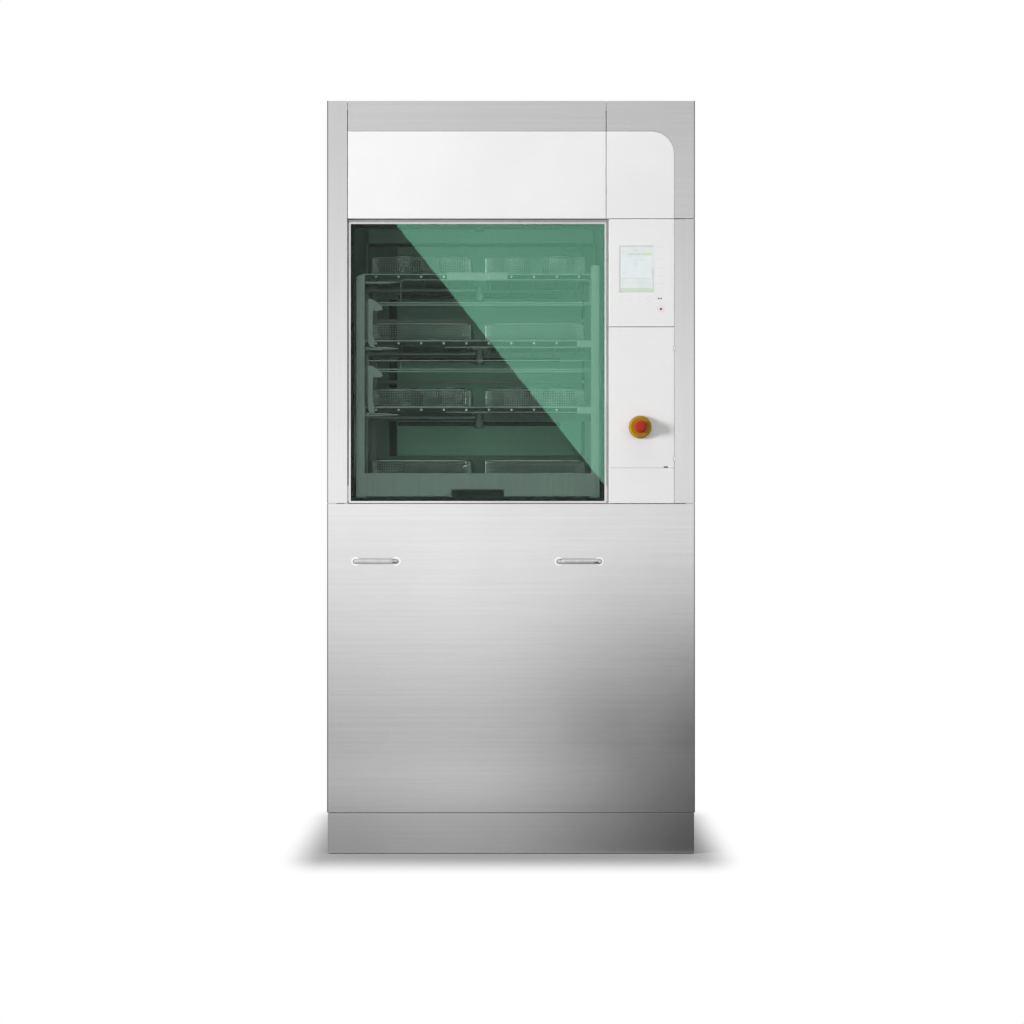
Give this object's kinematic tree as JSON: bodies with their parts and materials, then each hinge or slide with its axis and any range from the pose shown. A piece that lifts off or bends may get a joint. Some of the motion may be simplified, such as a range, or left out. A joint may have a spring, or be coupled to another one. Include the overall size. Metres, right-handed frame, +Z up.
{
  "type": "washer-disinfector",
  "caption": "Free-standing stainless washer-disinfector with a sinking green glass door, side control panel, emergency stop and a wash cart with turning spray arms.",
  "frame": {"origin": "on the floor, under the middle of the overall box", "axes": "+Z up, -Y out of the front, +X to the right as one stands before the machine"},
  "size_m": [0.9, 0.745, 1.842],
  "materials": {
    "brushed_stainless": "brushed, satin",
    "bright_stainless": "polished",
    "plain_steel": "plain",
    "zinc_plate": "zinc plated",
    "cast_iron": "bare",
    "wire_mesh": "electropolished wire",
    "white_panel": "white, satin",
    "green_glass": "green tinted, gloss",
    "display_glass": "pale screen behind a clear foil",
    "lamp_red": "clear red",
    "safety_yellow": "satin",
    "safety_red": "satin",
    "black_rubber": "matt",
    "dark_plastic": "matt",
    "pale_plastic": "matt"
  },
  "bodies": {
    "cabinet": {"base_frame": "plain_steel", "basket_base_left": "wire_mesh", "basket_base_right": "wire_mesh", "basket_lower_left": "wire_mesh", "basket_lower_right": "wire_mesh", "basket_middle_left": "wire_mesh", "basket_middle_right": "wire_mesh", "basket_upper_left": "wire_mesh", "basket_upper_right": "wire_mesh", "belt_left": "black_rubber", "belt_right": "black_rubber", "cart_frame": "brushed_stainless", "chamber_shell": "brushed_stainless", "circulation_pump": "dark_plastic", "control_cabinet": "pale_plastic", "control_panel": "white_panel", "docking_bar_left": "bright_stainless", "docking_bar_right": "bright_stainless", "door_motor": "dark_plastic", "door_seal": "black_rubber", "dosing_unit": "pale_plastic", "dryer_unit": "pale_plastic", "fascia_left": "white_panel", "fascia_right": "white_panel", "foot_front_left": "zinc_plate", "foot_front_right": "zinc_plate", "foot_rear_left": "zinc_plate", "foot_rear_right": "zinc_plate", "guide_left": "brushed_stainless", "guide_right": "brushed_stainless", "header_corner": "brushed_stainless", "header_panel": "brushed_stainless", "left_column": "brushed_stainless", "left_side_panel": "brushed_stainless", "lower_front_panel": "brushed_stainless", "plinth_panel": "brushed_stainless", "rear_panel": "brushed_stainless", "right_column": "brushed_stainless", "right_side_panel": "brushed_stainless", "service_cover": "white_panel", "status_lamp": "lamp_red", "sump_heater": "plain_steel", "sump_strainer": "brushed_stainless", "top_panel": "brushed_stainless", "touch_display": "display_glass"},
    "door": {"door_frame": "brushed_stainless", "door_glass": "green_glass"},
    "counterweight": {"counterweight": "cast_iron"},
    "drive_shaft": {"drive_shaft": "plain_steel"},
    "idler_shaft": {"idler_shaft": "plain_steel"},
    "service_door": {"service_door": "white_panel", "estop_collar": "safety_yellow", "estop_contact_block": "dark_plastic"},
    "estop_stem": {"estop_stem": "dark_plastic"},
    "estop_cap": {"estop_cap": "safety_red"},
    "bottom_spray_arm": {"bottom_spray_arm": "brushed_stainless"},
    "top_spray_arm": {"top_spray_arm": "brushed_stainless"},
    "cart_spray_arm_lower": {"cart_spray_arm_lower": "brushed_stainless"},
    "cart_spray_arm_middle": {"cart_spray_arm_middle": "brushed_stainless"},
    "cart_spray_arm_upper": {"cart_spray_arm_upper": "brushed_stainless"}
  },
  "joints": [
    {"name": "door_slide", "type": "slide", "parent": "cabinet", "child": "door", "axis": [0, 0, 1], "range_m": [-0.69, 0]},
    {"name": "counterweight_slide", "type": "slide", "parent": "cabinet", "child": "counterweight", "axis": [0, 0, 1], "range_m": [0, 0.69]},
    {"name": "drive_shaft_spin", "type": "hinge", "parent": "cabinet", "child": "drive_shaft", "pos_m": [-0.082, -0.2724, 1.655], "axis": [1, 0, 0], "range_deg": [0, 1663.1]},
    {"name": "idler_shaft_spin", "type": "hinge", "parent": "cabinet", "child": "idler_shaft", "pos_m": [-0.082, -0.2724, 0.14], "axis": [1, 0, 0], "range_deg": [0, 1663.1]},
    {"name": "service_door_hinge", "type": "hinge", "parent": "cabinet", "child": "service_door", "pos_m": [0.39975, -0.3275, 0.945], "axis": [0, 0, 1], "range_deg": [0, 105]},
    {"name": "estop_press", "type": "slide", "parent": "service_door", "child": "estop_stem", "axis": [0, 1, 0], "range_m": [0, 0.005]},
    {"name": "estop_twist", "type": "hinge", "parent": "estop_stem", "child": "estop_cap", "pos_m": [0.3155, -0.3275, 1.044], "axis": [0, 1, 0], "range_deg": [0, 45], "stiffness_Nm_per_rad": 0.02},
    {"name": "bottom_spray_arm_spin", "type": "hinge", "parent": "cabinet", "child": "bottom_spray_arm", "pos_m": [-0.082, 0.02055, 0.852], "axis": [0, 0, 1], "continuous": true},
    {"name": "top_spray_arm_spin", "type": "hinge", "parent": "cabinet", "child": "top_spray_arm", "pos_m": [-0.082, 0.02055, 1.582], "axis": [0, 0, 1], "continuous": true},
    {"name": "cart_spray_arm_lower_spin", "type": "hinge", "parent": "cabinet", "child": "cart_spray_arm_lower", "pos_m": [-0.082, 0.02055, 1.0552], "axis": [0, 0, 1], "continuous": true},
    {"name": "cart_spray_arm_middle_spin", "type": "hinge", "parent": "cabinet", "child": "cart_spray_arm_middle", "pos_m": [-0.082, 0.02055, 1.2197], "axis": [0, 0, 1], "continuous": true},
    {"name": "cart_spray_arm_upper_spin", "type": "hinge", "parent": "cabinet", "child": "cart_spray_arm_upper", "pos_m": [-0.082, 0.02055, 1.3842], "axis": [0, 0, 1], "continuous": true}
  ],
  "couplings": [
    {"joint": "counterweight_slide", "follows": "door_slide", "ratio": -1},
    {"joint": "drive_shaft_spin", "follows": "door_slide", "rad_per_m": -42.017},
    {"joint": "idler_shaft_spin", "follows": "door_slide", "rad_per_m": -42.017}
  ]
}
